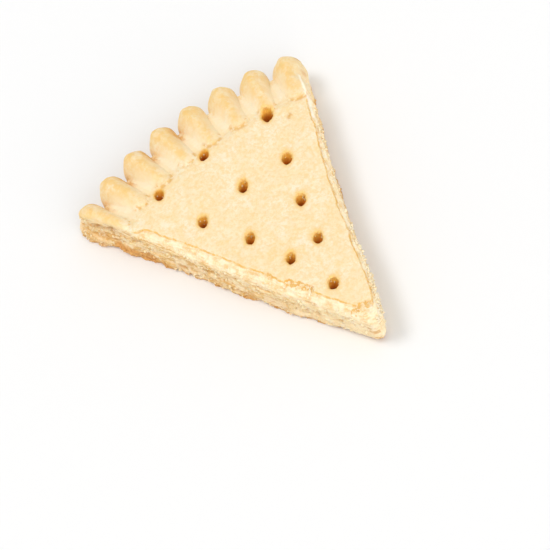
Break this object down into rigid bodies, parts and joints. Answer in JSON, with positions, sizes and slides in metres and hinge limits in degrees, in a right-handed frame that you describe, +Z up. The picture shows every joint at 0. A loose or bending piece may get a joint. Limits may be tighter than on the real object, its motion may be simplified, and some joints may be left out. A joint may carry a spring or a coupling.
{
  "type": "shortbread biscuit wedge",
  "caption": "Wedge of shortbread: a flat pale gold slice of a round, with a fluted outer rim, docking holes and two rough snapped sides.",
  "frame": {"origin": "middle of the bounding box, on the underside that the wedge lies on", "axes": "+Z up out of the docked top, +Y from the narrow tip to the fluted rim, +X to the right side seen from the tip"},
  "size_m": [0.0644, 0.0796, 0.0113],
  "materials": {
    "shortbread": "baked shortbread: pale gold dry crust, toasted on the flutes, with a sandy paler crumb on the snapped sides"
  },
  "bodies": {
    "root": {"shortbread_wedge": "shortbread"}
  },
  "joints": []
}
